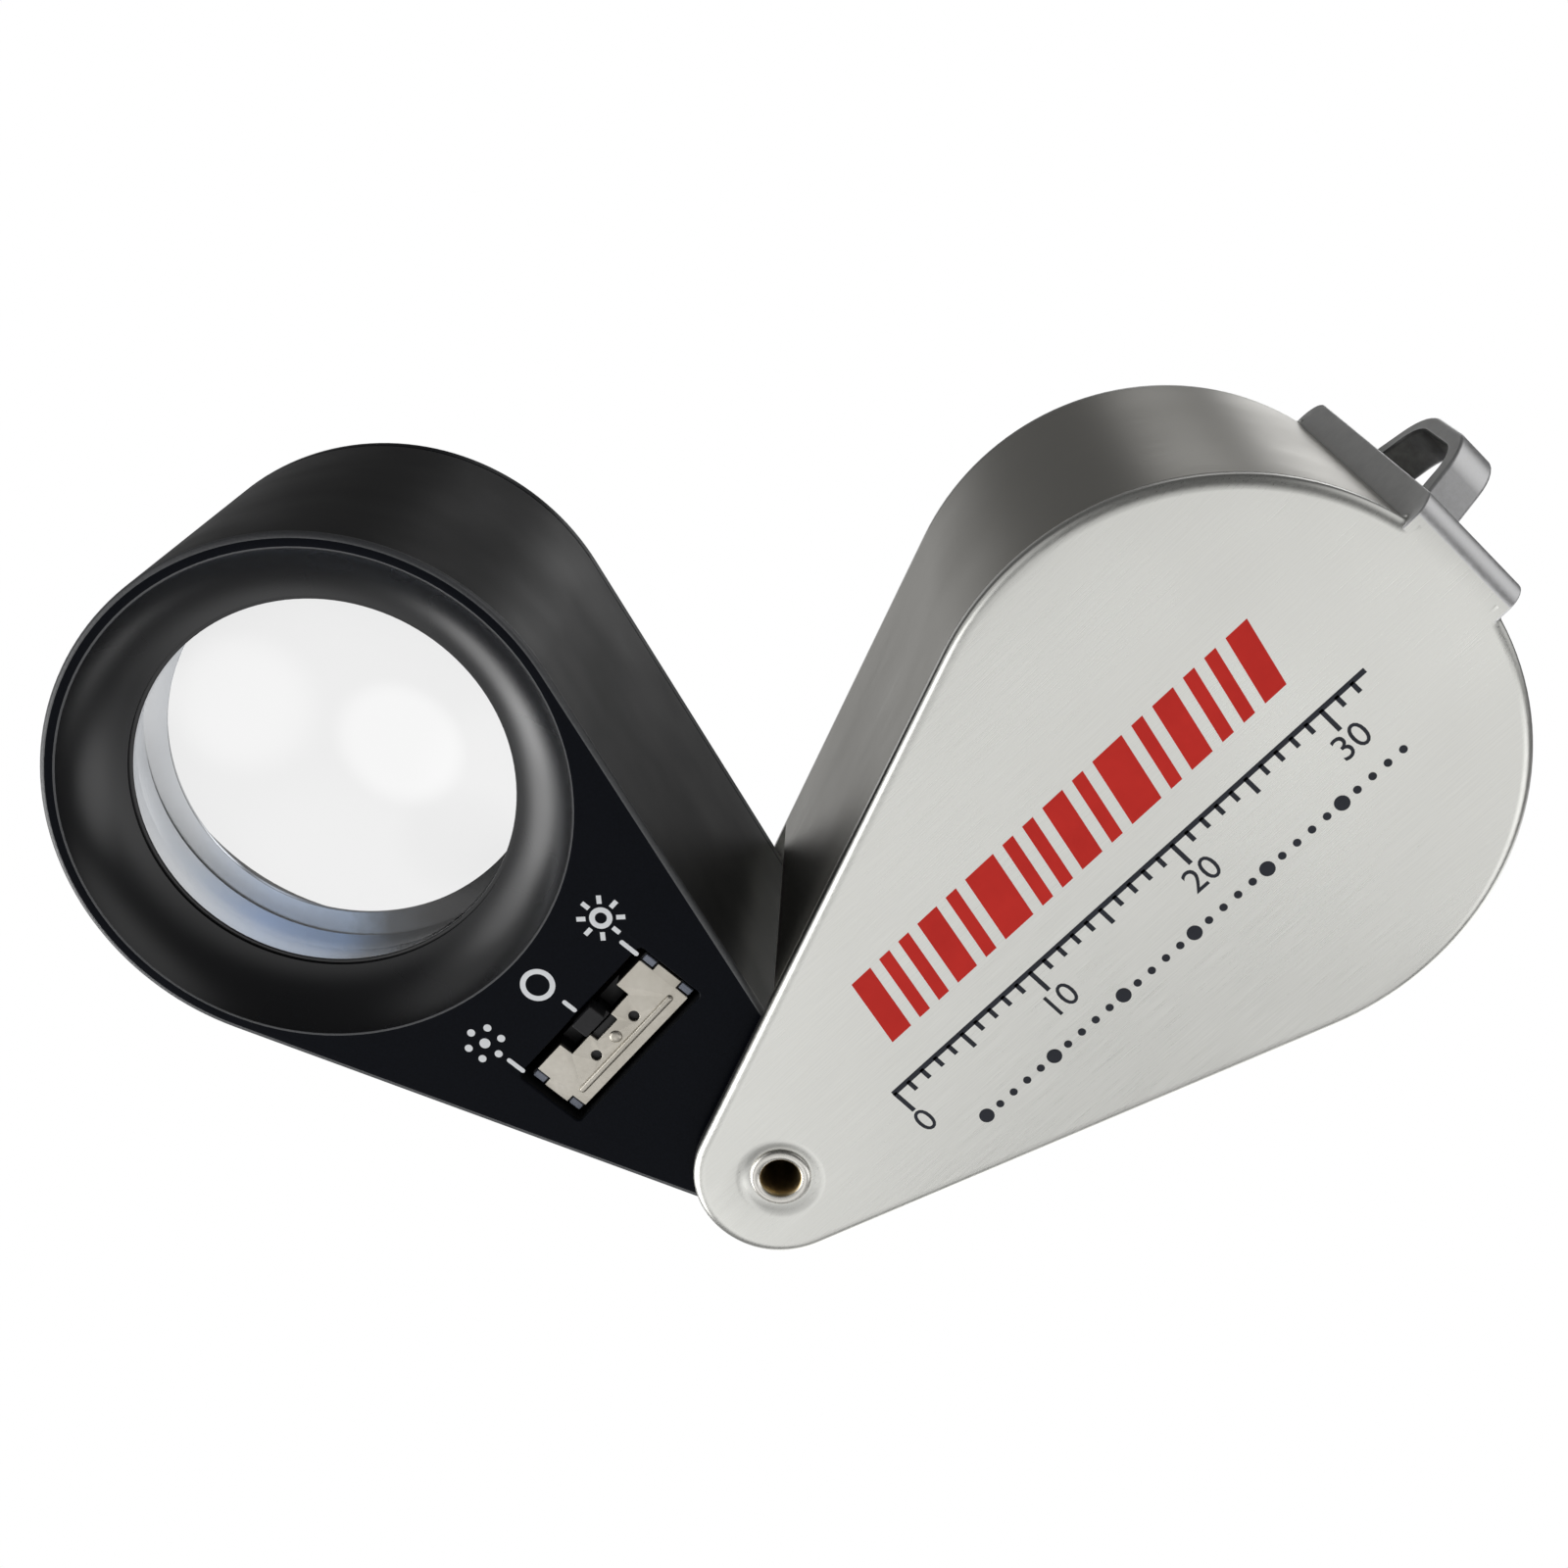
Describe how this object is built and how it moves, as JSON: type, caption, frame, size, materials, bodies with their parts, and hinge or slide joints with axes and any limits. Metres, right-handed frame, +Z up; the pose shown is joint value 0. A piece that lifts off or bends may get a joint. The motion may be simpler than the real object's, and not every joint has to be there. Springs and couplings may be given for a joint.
{
  "type": "folding illuminated loupe",
  "caption": "Folding loupe: a black teardrop lens housing with a slide switch and lights swings on a hollow rivet out of a brushed steel cover with a lanyard bail.",
  "frame": {"origin": "middle of the bounding box at its lowest level", "axes": "+Z up in the open V pose, -Y out of the front faces, +X towards the cover's round end; the hinge axis is parallel to Y"},
  "size_m": [0.0762, 0.026, 0.0437],
  "materials": {
    "cover_steel": "finely brushed stainless sheet, hairlines along the cover",
    "strap_steel": "satin stainless sheet, folded and lanced",
    "rivet_brass": "nickelled flange, bare brass bore",
    "washer_steel": "plain",
    "bush_brass": "turned",
    "housing_black": "satin black anodised",
    "ring_black": "semi-gloss black anodised",
    "screw_steel": "machined",
    "lens_glass": "polished, coated",
    "circuit_board": "solder mask",
    "black_plastic": "moulded",
    "white_led_epoxy": "clear moulded epoxy",
    "uv_led_epoxy": "violet tinted epoxy",
    "cell_steel": "bright plated",
    "contact_brass": "sheet",
    "spring_steel": "drawn wire",
    "switch_metal": "tinned pressed sheet",
    "switch_plastic": "moulded",
    "slider_plastic": "moulded",
    "wire_insulation": "PVC"
  },
  "bodies": {
    "cover": {"cover_front_plate": "cover_steel", "cover_rear_plate": "cover_steel", "cover_side_wall": "cover_steel", "end_strap": "strap_steel", "lanyard_bail": "strap_steel", "hinge_rivet": "rivet_brass", "front_friction_washer": "washer_steel", "rear_friction_washer": "washer_steel"},
    "lens_unit": {"hinge_bush": "bush_brass", "lens_housing": "housing_black", "rear_cover": "housing_black", "battery_door": "housing_black", "rear_cover_screw_1": "screw_steel", "rear_cover_screw_2": "screw_steel", "rear_cover_screw_3": "screw_steel", "battery_door_screw": "screw_steel", "lens_cell": "housing_black", "front_retaining_ring": "ring_black", "rear_retaining_ring": "ring_black", "front_lens": "lens_glass", "middle_lens": "lens_glass", "rear_lens": "lens_glass", "led_board": "circuit_board", "led_bezel": "black_plastic", "white_led_1": "white_led_epoxy", "white_led_2": "white_led_epoxy", "white_led_3": "white_led_epoxy", "uv_led_1": "uv_led_epoxy", "uv_led_2": "uv_led_epoxy", "uv_led_3": "uv_led_epoxy", "battery_sleeve": "black_plastic", "button_cell_1": "cell_steel", "button_cell_2": "cell_steel", "button_cell_3": "cell_steel", "battery_contact": "contact_brass", "battery_spring": "spring_steel", "switch_frame": "switch_metal", "switch_base": "switch_plastic", "switch_terminal_1": "contact_brass", "switch_terminal_2": "contact_brass", "switch_terminal_3": "contact_brass", "battery_wire": "wire_insulation", "light_wire": "wire_insulation"},
    "switch_knob": {"switch_slider": "slider_plastic"}
  },
  "joints": [
    {"name": "housing_swing", "type": "hinge", "parent": "cover", "child": "lens_unit", "pos_m": [0.00047, 0, 0.0048], "axis": [0, -1, 0], "range_deg": [-6, 267.5]},
    {"name": "light_switch", "type": "slide", "parent": "lens_unit", "child": "switch_knob", "axis": [-0.6561, 0, -0.7547], "range_m": [-0.0015, 0.0015]}
  ]
}
